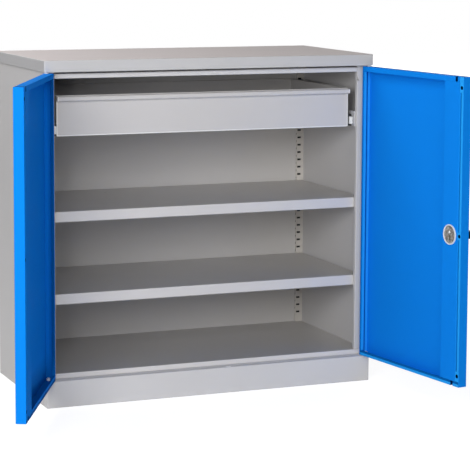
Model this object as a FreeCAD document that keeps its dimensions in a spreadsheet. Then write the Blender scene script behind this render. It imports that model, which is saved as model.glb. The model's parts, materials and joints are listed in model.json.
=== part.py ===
import FreeCAD, Part
import Sketcher
import math
import os

# Steel storage cabinet with two hinged doors, a drawer on telescopic runners and two shelves.
# Millimetres. X to the right, Y to the back, Z up.
# The origin lies on the floor, in the middle of the underside of the plinth.
# The doors are drawn shut and then turned about their pins to the angles at which they stand open.

os.makedirs("parts", exist_ok=True)
doc = FreeCAD.newDocument("storage_cabinet")
sheet = doc.addObject("Spreadsheet::Sheet", "Sizes")

SIZES = (
    ("cab_width", 1030, "over the cap"),
    ("cab_depth", 510, "over the cap"),
    ("cab_height", 1000, "floor to the top of the cap"),
    ("wall", 1.2, "carcase and door sheet"),
    ("bend", 2.5, "outside radius of an ordinary fold"),
    ("fit", 0.3, "running and assembly clearance"),
    ("cap_drop", 33.5, "edge of the cap"),
    ("cap_lip", 20, "turned in under the edge of the cap"),
    ("cap_corner", 5, "upright corners of the cap"),
    ("cap_bend", 3, "top folds of the cap"),
    ("side_inset", 2.8, "carcase side inside the cap"),
    ("rear_inset", 2, "carcase back inside the cap"),
    ("side_flange", 20, "flanges of the side panels"),
    ("frame_setback", 30.5, "front frame behind the cap"),
    ("post_width", 35.7, "face of a front post"),
    ("slit_below", 27.6, "corner slit below the header"),
    ("slit_rise", 14.2, "height of the corner slit"),
    ("slit_run", 5.5, "slant of the corner slit"),
    ("slit_width", 4, "width of the corner slit"),
    ("header_gap", 6.5, "shadow gap between cap and header rail"),
    ("header_height", 14, "face of the header rail"),
    ("header_top_leg", 20, "upper flange of the header rail"),
    ("header_foot_leg", 12, "lower flange of the header rail"),
    ("plinth_height", 77.5, "floor to the top of the plinth"),
    ("plinth_tuck", 20, "plinth flange under the floor panel"),
    ("floor_rise", 15.5, "front lip of the floor panel"),
    ("floor_lip", 20, "turned in under the floor panel"),
    ("rack_width", 24, "face of a slotted upright"),
    ("rack_depth", 12.4, "depth of a front upright"),
    ("rear_rack_depth", 7, "depth of a rear upright"),
    ("rack_pitch", 24, "slot to slot"),
    ("rack_first", 32, "first slot above the floor panel"),
    ("rack_slots", 35, "slots in an upright"),
    ("slot_width", 12, "slot in the face"),
    ("slot_height", 6, "slot in the face"),
    ("slot_inset", 8.5, "middle of a slot from the inner leg"),
    ("notch_length", 3.6, "notch in the inner leg"),
    ("notch_height", 6, "notch in the inner leg"),
    ("shelf_thick", 31, "folded edge of a shelf"),
    ("shelf_lip", 12, "turned in under a shelf"),
    ("shelf_side_gap", 6, "shelf to carcase side"),
    ("shelf_end_gap", 2.5, "shelf to the uprights"),
    ("upper_shelf_slot", 16, "slot that carries the upper shelf"),
    ("lower_shelf_slot", 6, "slot that carries the lower shelf"),
    ("clip_rise", 22, "slot to the ledge of a shelf clip"),
    ("clip_tail", 9, "clip below its slot"),
    ("clip_width", 18, "shelf clip"),
    ("clip_wall", 1.5, "shelf clip and runner bracket sheet"),
    ("clip_reach", 16, "ledge of a shelf clip"),
    ("tongue_width", 10, "hook in a slot"),
    ("tongue_height", 5, "hook in a slot"),
    ("tongue_length", 5, "hook through the upright"),
    ("drawer_slot", 28, "slot that carries the drawer brackets, level with the middle of the runners"),
    ("bracket_gap", 1, "bracket inside the post"),
    ("bracket_ear", 26, "turned-out ends of a bracket"),
    ("bracket_height", 46, "runner bracket"),
    ("slide_width", 13, "telescopic runner"),
    ("slide_height", 35, "telescopic runner"),
    ("slide_length", 420, "telescopic runner, shut"),
    ("slide_wall", 1.3, "runner steel"),
    ("race_gap", 2.6, "ball space between two members"),
    ("ball_dia", 2.5, "runner balls"),
    ("ball_pitch", 60, "ball to ball"),
    ("web_gap", 0.8, "runner web to runner web"),
    ("outer_leg", 10, "race of the outer member"),
    ("mid_leg", 9, "race of the middle member"),
    ("inner_leg", 8.2, "race of the inner member"),
    ("drawer_wall", 1, "drawer sheet"),
    ("drawer_sill", 19, "drawer floor below the runner middle"),
    ("drawer_height", 117, "drawer box"),
    ("drawer_depth", 425, "drawer box"),
    ("drawer_hem", 6, "hem along the rim of the drawer"),
    ("drawer_setback", 31.5, "drawer face behind the front frame"),
    ("front_height", 101, "drawer face under the grip"),
    ("grip_height", 14, "rolled grip of the drawer"),
    ("grip_reach", 15, "grip in front of the drawer face"),
    ("grip_hem", 9, "turned down behind the grip"),
    ("grip_bend", 3.5, "folds of the grip"),
    ("door_inset", 2.2, "hinge edge of a door inside the cap"),
    ("door_gap", 4.5, "between the shut doors"),
    ("door_thick", 28.5, "folded door"),
    ("door_top_gap", 3.5, "door to cap"),
    ("door_foot_gap", 2, "door to plinth"),
    ("right_open", 97.5, "angle of the right door at rest, degrees"),
    ("left_open", 115.6, "angle of the left door at rest, degrees"),
    ("hinge_lip", 10, "lip beside the hinge"),
    ("hinge_return", 8.5, "turned in from the hinge lip"),
    ("end_lip", 15, "lip along the door top and foot"),
    ("free_lip", 9, "lip along the free edge"),
    ("tab_reach", 17, "tab from the free edge"),
    ("tab_height", 45, "corner tab from the door end"),
    ("tab_hole", 11, "hole in a tab"),
    ("tab_hole_inset", 8.5, "hole from the free edge"),
    ("tab_hole_drop", 31, "hole from the door end"),
    ("channel_gap", 5.75, "lip of the free edge to the lock channel"),
    ("seat_gap", 0.3, "tab to the notch in the lock channel"),
    ("channel_width", 75.75, "crown of the lock channel"),
    ("channel_foot", 12, "foot of the lock channel on the skin"),
    ("channel_return", 10, "short leg of the lock channel"),
    ("channel_hole", 50, "opening behind the lock cover"),
    ("lock_height", 433, "lock above the foot of the door"),
    ("rod_offset", 3.5, "rods from the lock axis"),
    ("rod_dia", 8, "lock rod"),
    ("rod_depth", 7.5, "rod centre behind the door face"),
    ("rod_drop", 15, "rod tip inside the end of the door"),
    ("rod_hole", 9.4, "rod hole in a flange"),
    ("strike_width", 18, "oblong hole for a rod in the cap and the plinth"),
    ("notch_inset", 33, "notch in the end lip from the free edge"),
    ("notch_width", 10, "notch in the end lip"),
    ("notch_drop", 14, "notch in the end lip"),
    ("notch_depth", 10, "notch from the back of the door"),
    ("pin_inset", 9, "hinge axis from the side and the face of the cap"),
    ("pin_dia", 6.4, "hinge pin"),
    ("pin_reach", 10, "hinge pin inside the door"),
    ("pin_head_dia", 10, "head of a hinge pin"),
    ("pin_head", 2, "head of a hinge pin"),
    ("bush_bore", 6.6, "hinge bush"),
    ("bush_dia", 10, "hinge bush"),
    ("bush_length", 8, "hinge bush inside the door"),
    ("bush_rim_dia", 13, "rim of a hinge bush"),
    ("bush_rim", 2, "rim of a hinge bush, as thick as the gap it fills under the door"),
    ("crank", 16, "lock axis to crank pin"),
    ("crank_pin", 5, "crank pin"),
    ("yoke_play", 0.7, "crank pin in its yoke slot"),
    ("yoke_wall", 3.1, "steel round a yoke slot"),
    ("yoke_thick", 3, "yoke plate"),
    ("yoke_neck", 22, "yoke plate past the cam"),
    ("yoke_arm", 12, "cross arm from the yoke to its rod"),
    ("cam_dia", 42, "lock cam"),
    ("cam_thick", 3, "lock cam"),
    ("spindle_dia", 12, "lock spindle"),
    ("spindle_hole", 13, "hole in the door face"),
    ("rosette_dia", 56, "plate under the handle"),
    ("rosette_thick", 4, "plate under the handle"),
    ("hub_dia", 34, "handle hub"),
    ("hub_length", 10, "handle hub"),
    ("handle_length", 96, "handle grip"),
    ("handle_width", 22, "handle grip"),
    ("handle_thick", 16, "handle grip"),
    ("handle_round", 5, "handle grip"),
    ("plug_dia", 15, "key cylinder"),
    ("plug_length", 22, "key cylinder"),
    ("plug_proud", 1, "key cylinder out of the handle"),
    ("key_slot", 8, "key slot"),
    ("key_slot_wide", 1.6, "key slot"),
    ("key_slot_deep", 3, "key slot"),
    ("cover_dia", 58, "round cover inside the door"),
    ("cover_rim", 3, "rim of the cover"),
    ("cover_rim_high", 3, "rim of the cover"),
    ("cover_plate", 1.4, "floor of the cover"),
    ("cover_boss", 16, "boss of the cover"),
    ("cover_boss_rise", 7, "boss above the lock axis"),
    ("cover_slot_wide", 7, "slot under the boss"),
    ("cover_slot", 16, "slot under the boss"),
    ("guide_width", 22, "rod guide"),
    ("guide_height", 12, "rod guide"),
    ("guide_cap", 5, "rod guide over the rod"),
    ("guide_bore", 8.6, "rod guide"),
    ("guide_drop", 50, "rod guide from the end of the door"),
)

for row, (name, value, note) in enumerate(SIZES, start=1):
    sheet.set(f"A{row}", name)
    sheet.set(f"B{row}", str(value))
    sheet.set(f"C{row}", note)
    sheet.setAlias(f"B{row}", name)
doc.recompute()


class Size:
    """A length: its value now, and the formula by which the document keeps it."""

    def __init__(self, value, formula):
        self.value = float(value)
        self.formula = formula

    def __add__(self, other):
        other = as_size(other)
        return Size(self.value + other.value, f"({self.formula} + {other.formula})")

    def __sub__(self, other):
        other = as_size(other)
        return Size(self.value - other.value, f"({self.formula} - {other.formula})")

    def __mul__(self, other):
        other = as_size(other)
        return Size(self.value * other.value, f"({self.formula} * {other.formula})")

    def __truediv__(self, other):
        other = as_size(other)
        return Size(self.value / other.value, f"({self.formula} / {other.formula})")

    def __neg__(self):
        return Size(-self.value, f"(0 - {self.formula})")

    def __radd__(self, other):
        return as_size(other) + self

    def __rsub__(self, other):
        return as_size(other) - self

    def __rmul__(self, other):
        return as_size(other) * self


class Driving:
    """The cells of the sheet, read as sizes by their aliases."""

    def __getattr__(self, name):
        return Size(sheet.get(name), f"Sizes.{name}")


def as_size(number):
    return number if isinstance(number, Size) else Size(number, str(number))


d = Driving()
zero = as_size(0)

# Places that several pieces share
half_width = d.cab_width / 2
front_y = -(d.frame_setback / 2)
back_y = front_y + d.cab_depth
cap_foot = d.cab_height - d.cap_drop
web_out = half_width - d.side_inset
web_in = web_out - d.wall
frame_y = front_y + d.frame_setback
post_in = web_out - d.post_width
rack_front = frame_y + d.wall + d.rack_depth
rear_y = back_y - d.rear_inset
rear_in = rear_y - d.wall * 2
rack_rear = rear_in - d.rear_rack_depth
floor_top = d.plinth_height + d.floor_rise
header_top = cap_foot - d.header_gap
header_foot = header_top - d.header_height
rack_in = web_in - d.rack_width
slot_x = rack_in + d.slot_inset
middle_y = (rack_front + rack_rear) / 2
door_free = d.door_gap / 2
door_hinge = half_width - d.door_inset
door_foot = d.plinth_height + d.door_foot_gap
door_top = cap_foot - d.door_top_gap
door_skin = front_y + d.wall
door_back = front_y + d.door_thick
pin_x = half_width - d.pin_inset
pin_y = front_y + d.pin_inset
channel_free = door_free + d.free_lip + d.channel_gap
channel_hinge = channel_free + d.channel_width
lock_x = channel_free + d.channel_width / 2
lock_z = door_foot + d.lock_height
rod_x = lock_x - d.rod_offset
rod_y = front_y + d.rod_depth


def slot_z(index):
    return floor_top + d.rack_first + d.rack_pitch * index


# Sketches and solids

AXES = {"XY": 2, "XZ": 1, "YZ": 0}


def rectangle(a, b):
    return [(a[0], b[0]), (a[1], b[0]), (a[1], b[1]), (a[0], b[1])]


def trimmed(a, b, cut):
    """A rectangle with its corners cut off, to stay inside a rounded one."""
    return [(a[0] + cut, b[0]), (a[1] - cut, b[0]), (a[1], b[0] + cut), (a[1], b[1] - cut),
            (a[1] - cut, b[1]), (a[0] + cut, b[1]), (a[0], b[1] - cut), (a[0], b[0] + cut)]


trim_share = 2 - math.sqrt(2)


def plane_of(body, role):
    return next(item for item in body.Origin.OriginFeatures if item.Role == role)


def bind(sketch, kind, geometry, point, size):
    if kind == "Radius":
        index = sketch.addConstraint(Sketcher.Constraint(kind, geometry, size.value))
    else:
        index = sketch.addConstraint(Sketcher.Constraint(kind, -1, 1, geometry, point, size.value))
    sketch.setExpression(f"Constraints[{index}]", size.formula)


def draw_polygon(sketch, points):
    first = sketch.GeometryCount
    count = len(points)
    spots = [FreeCAD.Vector(a.value, b.value, 0) for a, b in points]
    for index in range(count):
        sketch.addGeometry(Part.LineSegment(spots[index], spots[(index + 1) % count]), False)
    for index in range(count):
        line = first + index
        follower = first + (index + 1) % count
        sketch.addConstraint(Sketcher.Constraint("Coincident", line, 2, follower, 1))
        bind(sketch, "DistanceX", line, 1, points[index][0])
        bind(sketch, "DistanceY", line, 1, points[index][1])


def draw_circle(sketch, centre, radius):
    spot = FreeCAD.Vector(centre[0].value, centre[1].value, 0)
    line = sketch.addGeometry(Part.Circle(spot, FreeCAD.Vector(0, 0, 1), radius.value), False)
    bind(sketch, "DistanceX", line, 3, centre[0])
    bind(sketch, "DistanceY", line, 3, centre[1])
    bind(sketch, "Radius", line, 3, radius)


def new_body(label):
    body = doc.addObject("PartDesign::Body", label)
    body.Label = label
    return body


def prism(body, plane, loops, low, high, cut=False):
    """Pads or pockets closed loops between two heights on the axis square to the plane.
    A loop is a list of points, or a (centre, radius) pair for a circle."""
    backward = plane == "XZ"
    sketch = body.newObject("Sketcher::SketchObject", f"{body.Label}_sketch")
    sketch.AttachmentSupport = [(plane_of(body, f"{plane}_Plane"), "")]
    sketch.MapMode = "FlatFace"
    sketch.setExpression("AttachmentOffset.Base.z", (-low if backward else low).formula)
    for loop in loops:
        if isinstance(loop, list):
            draw_polygon(sketch, loop)
        else:
            draw_circle(sketch, loop[0], loop[1])
    before = 0 if body.Tip is None else body.Tip.Shape.Volume
    kind = "PartDesign::Pocket" if cut else "PartDesign::Pad"
    feature = body.newObject(kind, f"{body.Label}_{'cut' if cut else 'pad'}")
    feature.Profile = sketch
    feature.Reversed = backward != cut
    feature.setExpression("Length", (high - low).formula)
    doc.recompute()
    after = feature.Shape.Volume
    if cut and not after < before:
        raise RuntimeError(f"{body.Label}: a cut took nothing away")
    return feature


def edges_at(shape, axis, places):
    """Names of the straight edges along an axis whose two other coordinates are among the places."""
    names = []
    others = [index for index in range(3) if index != axis]
    for number, edge in enumerate(shape.Edges, start=1):
        if edge.Curve.TypeId != "Part::GeomLine":
            continue
        start, end = edge.Vertexes[0].Point, edge.Vertexes[-1].Point
        if any(abs(start[index] - end[index]) > TOUCH for index in others):
            continue
        for place in places:
            if all(abs(start[index] - spot.value) < TOUCH for index, spot in zip(others, place)):
                names.append(f"Edge{number}")
    return names


TOUCH = 1e-5


def round_named(body, radius, names):
    """Rounds the edges of the last feature that have these names."""
    base = body.Tip
    if not names:
        raise RuntimeError(f"{body.Label}: no edge to round")
    fillet = body.newObject("PartDesign::Fillet", f"{body.Label}_fold")
    fillet.Base = (base, sorted(set(names)))
    fillet.setExpression("Radius", radius.formula)
    doc.recompute()


def round_edges(body, radius, choices):
    """Rounds the straight edges named by (axis, places) choices."""
    names = []
    for axis, places in choices:
        names += edges_at(body.Tip.Shape, axis, places)
    round_named(body, radius, names)


def rim_edges(shape, axis, level):
    """Names of the edges that lie wholly at one level of an axis."""
    return [f"Edge{number}" for number, edge in enumerate(shape.Edges, start=1)
            if all(abs(vertex.Point[axis] - level.value) < TOUCH for vertex in edge.Vertexes)]


def corners(a, b):
    return [(first, second) for first in a for second in b]


def box(label, x, y, z):
    item = doc.addObject("Part::Box", label)
    for prop, (low, high) in zip(("Length", "Width", "Height"), (x, y, z)):
        item.setExpression(prop, (high - low).formula)
    for axis, (low, high) in zip("xyz", (x, y, z)):
        item.setExpression(f"Placement.Base.{axis}", low.formula)
    return item


def upright_cylinder(label, centre, low, high, diameter):
    item = doc.addObject("Part::Cylinder", label)
    item.setExpression("Radius", (diameter / 2).formula)
    item.setExpression("Height", (high - low).formula)
    for axis, size in zip("xyz", (centre[0], centre[1], low)):
        item.setExpression(f"Placement.Base.{axis}", size.formula)
    return item


def join(label, items, kind="Part::MultiFuse"):
    item = doc.addObject(kind, label)
    if kind == "Part::Compound":
        item.Links = items
    else:
        item.Shapes = items
    item.Label = label
    return item


def subtract(label, base, tool):
    item = doc.addObject("Part::Cut", label)
    item.Base = base
    item.Tool = tool
    item.Label = label
    return item


def mirror(label, source, base, normal):
    item = doc.addObject("Part::Mirroring", label)
    item.Source = source
    item.Base = base
    item.Normal = normal
    return item


nodes = {}


def keep(item):
    """Marks a finished sub-part. Its label is the name of its file."""
    nodes[item.Label] = item
    return item


def flip(side, pair):
    """A low and high pair on the right-hand side, or its mirror on the left."""
    return pair if side > 0 else (-pair[1], -pair[0])


def flip_points(side, points):
    return [(a if side > 0 else -a, b) for a, b in points]


SIDES = (("right", 1), ("left", -1))


# Folded panels

def pressing(label, x, y, z, wall, mouth_plane, mouth, bend, folds):
    """A block with rounded folds, hollowed to a wall all round, and opened through the mouth outline.
    The mouth plane tells which face is open: XY the underside, XZ the back, +XY the top."""
    body = new_body(label)
    prism(body, "XY", [rectangle(x, y)], z[0], z[1])
    round_edges(body, bend, folds(x, y, z))
    inner_x, inner_y, inner_z = ((low + wall, high - wall) for low, high in (x, y, z))
    prism(body, "XY", [rectangle(inner_x, inner_y)], inner_z[0], inner_z[1], cut=True)
    if mouth_plane == "XY":
        prism(body, "XY", [mouth], z[0], z[0] + wall * 2, cut=True)
    elif mouth_plane == "+XY":
        prism(body, "XY", [mouth], z[1] - wall * 2, z[1], cut=True)
    else:
        prism(body, "XZ", [mouth], y[1] - wall * 2, y[1], cut=True)
    return body


def inset(pair, amount):
    return (pair[0] + amount, pair[1] - amount)


def all_folds(x, y, z):
    return [(0, corners(y, z)), (1, corners(x, z)), (2, corners(x, y))]


def front_folds(x, y, z):
    return [(0, [(y[0], z[0]), (y[0], z[1])]), (2, [(x[0], y[0]), (x[1], y[0])])]


def lip_folds(x, y, z):
    return [(0, [(y[0], z[0]), (y[0], z[1])])]


def cut_door_holes(body, low, high):
    """Holes over and under the doors: two for the hinge pins and an oblong one for the lock rod."""
    half = (d.strike_width - d.rod_hole) / 2
    across = (rod_x - half, rod_x + half)
    circles = [((place, pin_y), d.pin_dia / 2) for place in (pin_x, -pin_x)]
    circles += [((place, rod_y), d.rod_hole / 2) for place in across]
    prism(body, "XY", circles, low, high, cut=True)
    between = rectangle(across, (rod_y - d.rod_hole / 2, rod_y + d.rod_hole / 2))
    prism(body, "XY", [between], low, high, cut=True)


def make_cap():
    x, y, z = (-half_width, half_width), (front_y, back_y), (cap_foot, d.cab_height)
    body = new_body("top_cap")
    prism(body, "XY", [rectangle(x, y)], z[0], z[1])
    round_edges(body, d.cap_corner, [(2, corners(x, y))])
    inner_x, inner_y = inset(x, d.wall), inset(y, d.wall)
    round_named(body, d.cap_bend, rim_edges(body.Tip.Shape, 2, z[1]))
    hollow = trimmed(inner_x, inner_y, (d.cap_corner - d.wall) * trim_share)
    prism(body, "XY", [hollow], z[0] + d.wall, z[1] - d.wall, cut=True)
    mouth = rectangle(inset(x, d.cap_lip), inset(y, d.cap_lip))
    prism(body, "XY", [mouth], z[0], z[0] + d.wall * 2, cut=True)
    cut_door_holes(body, z[0], z[0] + d.wall * 2)
    keep(body)


def make_side(name, side):
    body = new_body(f"{name}_side_panel")
    section = [(web_in, frame_y), (web_out, frame_y), (web_out, rear_y), (web_out - d.side_flange, rear_y),
               (web_out - d.side_flange, rear_y - d.wall), (web_in, rear_y - d.wall)]
    prism(body, "XY", [flip_points(side, section)], zero, cap_foot)
    across = flip(side, (web_in - d.side_flange, web_in))
    prism(body, "XY", [rectangle(across, (rack_front, rear_in))], cap_foot - d.wall, cap_foot)
    prism(body, "XY", [rectangle(across, (frame_y + d.plinth_tuck, rear_in))], zero, d.wall)
    outer = web_out if side > 0 else -web_out
    round_edges(body, d.bend, [(2, [(outer, rear_y)])])
    keep(body)


def make_post(name, side):
    body = new_body(f"{name}_front_post")
    skin = frame_y + d.wall
    section = [(post_in, frame_y), (web_in, frame_y), (web_in, skin), (post_in + d.wall, skin),
               (post_in + d.wall, rack_front), (post_in, rack_front)]
    prism(body, "XY", [flip_points(side, section)], floor_top, cap_foot)
    corner = post_in if side > 0 else -post_in
    round_edges(body, d.bend, [(2, [(corner, frame_y)])])
    foot = header_foot - d.slit_below
    top = foot + d.slit_rise
    near = post_in + d.fit
    slit = [(near - d.slit_width, top), (near, top),
            (near + d.slit_run, foot), (near + d.slit_run - d.slit_width, foot)]
    prism(body, "XZ", [flip_points(side, slit)], frame_y, frame_y + d.wall * 2, cut=True)
    keep(body)


def make_rack(name, side, rear):
    """Slotted upright. Its slotted face looks into the cabinet, and its legs stand on the sheet behind."""
    face = rack_rear if rear else rack_front
    heel = rear_in if rear else frame_y + d.wall
    skin = face + d.wall if rear else face - d.wall
    body = new_body(f"{'rear' if rear else 'front'}_{name}_rack")
    section = [(rack_in, face), (web_in, face), (web_in, heel), (web_in - d.wall, heel),
               (web_in - d.wall, skin), (rack_in + d.wall, skin), (rack_in + d.wall, heel), (rack_in, heel)]
    prism(body, "XY", [flip_points(side, section)], floor_top, header_top)
    first = slot_z(0)
    across = flip(side, (slot_x - d.slot_width / 2, slot_x + d.slot_width / 2))
    tall = (first - d.slot_height / 2, first + d.slot_height / 2)
    low, high = (face, face + d.wall * 2) if rear else (face - d.wall * 2, face)
    slot = prism(body, "XZ", [rectangle(across, tall)], low, high, cut=True)
    features = [slot]
    if rear:
        deep = (face + d.wall * 2, face + d.wall * 2 + d.notch_length)
        low_x, high_x = flip(side, (rack_in, rack_in + d.wall * 2))
        half_pitch = first + d.rack_pitch / 2
        tall = (half_pitch - d.notch_height / 2, half_pitch + d.notch_height / 2)
        features.append(prism(body, "YZ", [rectangle(deep, tall)], low_x, high_x, cut=True))
    for feature in features:
        row = body.newObject("PartDesign::LinearPattern", f"{body.Label}_row")
        row.Originals = [feature]
        row.Direction = (plane_of(body, "Z_Axis"), [""])
        row.setExpression("Length", (d.rack_pitch * (d.rack_slots - 1)).formula)
        row.setExpression("Occurrences", "Sizes.rack_slots")
        body.Tip = row
        doc.recompute()
    keep(body)


def make_header():
    body = new_body("header_rail")
    section = [(frame_y, header_foot), (frame_y + d.header_foot_leg, header_foot),
               (frame_y + d.header_foot_leg, header_foot + d.wall), (frame_y + d.wall, header_foot + d.wall),
               (frame_y + d.wall, header_top - d.wall), (frame_y + d.header_top_leg, header_top - d.wall),
               (frame_y + d.header_top_leg, header_top), (frame_y, header_top)]
    prism(body, "YZ", [section], -post_in, post_in)
    round_edges(body, d.bend, [(0, [(frame_y, header_foot), (frame_y, header_top)])])
    keep(body)


def make_floor():
    x, y = (-web_in, web_in), (frame_y, rear_in)
    mouth = rectangle(inset(x, d.floor_lip), inset(y, d.floor_lip))
    keep(pressing("floor_panel", x, y, (d.plinth_height, floor_top), d.wall, "XY", mouth, d.bend, lip_folds))


def make_plinth():
    x, y, z = (-web_out, web_out), (front_y, frame_y), (zero, d.plinth_height)
    mouth = rectangle(inset(x, d.wall), inset(z, d.wall))
    body = pressing("plinth", x, y, z, d.wall, "XZ", mouth, d.bend, front_folds)
    tuck = rectangle((-web_in, web_in), (frame_y - d.wall, frame_y + d.plinth_tuck))
    prism(body, "XY", [tuck], d.plinth_height - d.wall, d.plinth_height)
    prism(body, "XY", [tuck], zero, d.wall)
    cut_door_holes(body, d.plinth_height - d.wall * 2, d.plinth_height)
    keep(body)


def make_back():
    body = new_body("back_panel")
    prism(body, "XY", [rectangle((-web_in, web_in), (rear_in, rear_in + d.wall))], zero, cap_foot)
    keep(body)


def make_shelf(label, index):
    foot = slot_z(index) + d.clip_rise
    x = inset((-web_in, web_in), d.shelf_side_gap)
    y = inset((rack_front, rack_rear), d.shelf_end_gap)
    mouth = rectangle(inset(x, d.shelf_lip), inset(y, d.shelf_lip))
    keep(pressing(label, x, y, (foot, foot + d.shelf_thick), d.wall, "XY", mouth, d.bend, all_folds))


def make_clips(label, index):
    """Four clips hooked into the uprights, with their ledges under the corners of a shelf."""
    slot = slot_z(index)
    foot = slot + d.clip_rise
    face = rack_front
    clip = new_body(f"{label}_one")
    section = [(face, slot - d.clip_tail), (face + d.clip_wall, slot - d.clip_tail),
               (face + d.clip_wall, foot - d.clip_wall), (face + d.clip_reach, foot - d.clip_wall),
               (face + d.clip_reach, foot), (face, foot)]
    prism(clip, "YZ", [section], slot_x - d.clip_width / 2, slot_x + d.clip_width / 2)
    hook = rectangle((face - d.tongue_length, face + d.clip_wall),
                     (slot - d.tongue_height / 2, slot + d.tongue_height / 2))
    prism(clip, "YZ", [hook], slot_x - d.tongue_width / 2, slot_x + d.tongue_width / 2)
    across = FreeCAD.Vector(1, 0, 0)
    along = FreeCAD.Vector(0, 1, 0)
    centre = FreeCAD.Vector(0, middle_y.value, 0)
    rear = mirror(f"{label}_rear", clip, centre, along)
    left = mirror(f"{label}_left", clip, centre, across)
    rear_left = mirror(f"{label}_rear_left", rear, centre, across)
    keep(join(label, [clip, rear, left, rear_left], "Part::Compound"))


# Drawer and its telescopic runners

bracket_out = post_in - d.bracket_gap
bracket_in = bracket_out - d.clip_wall
drawer_half = bracket_in - d.slide_width
runner_z = slot_z(d.drawer_slot)
drawer_face = frame_y + d.drawer_setback
box_front = drawer_face + d.wall
drawer_foot = runner_z - d.drawer_sill


def make_bracket(name, side):
    body = new_body(f"{name}_slide_bracket")
    ear = bracket_out + d.bracket_ear
    section = [(bracket_in, rack_front), (ear, rack_front), (ear, rack_front + d.clip_wall),
               (bracket_out, rack_front + d.clip_wall), (bracket_out, rack_rear - d.clip_wall),
               (ear, rack_rear - d.clip_wall), (ear, rack_rear), (bracket_in, rack_rear)]
    foot = runner_z - d.slide_height / 2
    prism(body, "XY", [flip_points(side, section)], foot, foot + d.bracket_height)
    across = flip(side, (slot_x - d.tongue_width / 2, slot_x + d.tongue_width / 2))
    hooks = []
    for step in range(2):
        slot = slot_z(d.drawer_slot + step)
        hooks.append(rectangle(across, (slot - d.tongue_height / 2, slot + d.tongue_height / 2)))
    prism(body, "XZ", hooks, rack_front - d.tongue_length, rack_front)
    prism(body, "XZ", hooks, rack_rear, rack_rear + d.tongue_length)
    keep(body)


def channel_section(web, leg, half, wall, opens):
    """C-section with its web at one side and its legs towards opens, which is 1 or -1."""
    tip = web + leg * opens
    inside = web + wall * opens
    foot, top = runner_z - half, runner_z + half
    return [(web, foot), (web, top), (tip, top), (tip, top - wall), (inside, top - wall),
            (inside, foot + wall), (tip, foot + wall), (tip, foot)]


outer_half = d.slide_height / 2
mid_half = outer_half - d.slide_wall - d.race_gap
inner_half = mid_half - d.slide_wall - d.race_gap
mid_web = bracket_in - d.slide_wall - d.web_gap


def make_slides(name, side):
    members = (("outer", bracket_in, d.outer_leg, outer_half, -1), ("mid", mid_web, d.mid_leg, mid_half, -1),
               ("inner", drawer_half, d.inner_leg, inner_half, 1))
    for member, web, leg, half, opens in members:
        body = new_body(f"{name}_slide_{member}")
        section = flip_points(side, channel_section(web, leg, half, d.slide_wall, opens))
        prism(body, "XZ", [section], box_front, box_front + d.slide_length)
        keep(body)


def make_balls(name, side):
    """Balls between the members: one set at the back of the middle member, one at its front."""
    reach = mid_web - d.mid_leg / 2
    rows = []
    for half, start in ((mid_half, box_front + d.slide_length - d.ball_pitch * 2),
                        (inner_half, box_front + d.ball_pitch)):
        for up in (1, -1):
            for step in range(2):
                height = runner_z + (half + d.race_gap / 2) * up
                rows.append((reach if side > 0 else -reach, start + d.ball_pitch * step, height))
    balls = []
    for place in rows:
        ball = doc.addObject("Part::Sphere", f"{name}_ball")
        ball.setExpression("Radius", (d.ball_dia / 2).formula)
        for axis, size in zip("xyz", place):
            ball.setExpression(f"Placement.Base.{axis}", size.formula)
        balls.append(ball)
    keep(join(f"{name}_slide_balls", balls, "Part::Compound"))


def make_drawer():
    x = (-drawer_half, drawer_half)
    y = (box_front, box_front + d.drawer_depth)
    z = (drawer_foot, drawer_foot + d.drawer_height)
    mouth = rectangle(inset(x, d.drawer_hem), inset(y, d.drawer_hem))
    foot_folds = lambda x, y, z: [(1, [(x[0], z[0]), (x[1], z[0])])]
    keep(pressing("drawer_tray", x, y, z, d.drawer_wall, "+XY", mouth, d.drawer_wall * 2, foot_folds))
    body = new_body("drawer_front")
    under = drawer_foot + d.front_height
    top = under + d.grip_height
    nose = drawer_face - d.grip_reach
    hem = top - d.grip_hem
    section = [(drawer_face, drawer_foot), (drawer_face, under), (nose, under), (nose, top),
               (box_front, top), (box_front, hem), (drawer_face, hem), (drawer_face, top - d.wall),
               (nose + d.wall, top - d.wall), (nose + d.wall, under + d.wall),
               (box_front, under + d.wall), (box_front, drawer_foot)]
    prism(body, "YZ", [section], x[0], x[1])
    round_edges(body, d.grip_bend, [(0, [(nose, under), (nose, top)])])
    end = rectangle((nose + d.grip_bend, box_front), (under, top))
    prism(body, "YZ", [end], x[0], x[0] + d.wall)
    prism(body, "YZ", [end], x[1] - d.wall, x[1])
    keep(body)


# Doors, hinges and lock

def swing(item, side):
    """Turns a piece of a shut door about its hinge pin to the angle at which the door stands."""
    angle = d.right_open.value if side > 0 else -d.left_open.value
    centre = FreeCAD.Vector(pin_x.value * side, pin_y.value, 0)
    turn = FreeCAD.Rotation(FreeCAD.Vector(0, 0, 1), angle)
    item.Placement = FreeCAD.Placement(FreeCAD.Vector(0, 0, 0), turn, centre)
    return item


free_lip_edge = door_free + d.free_lip
tab_edge = door_free + d.tab_reach
half_tab = d.tab_hole


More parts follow.
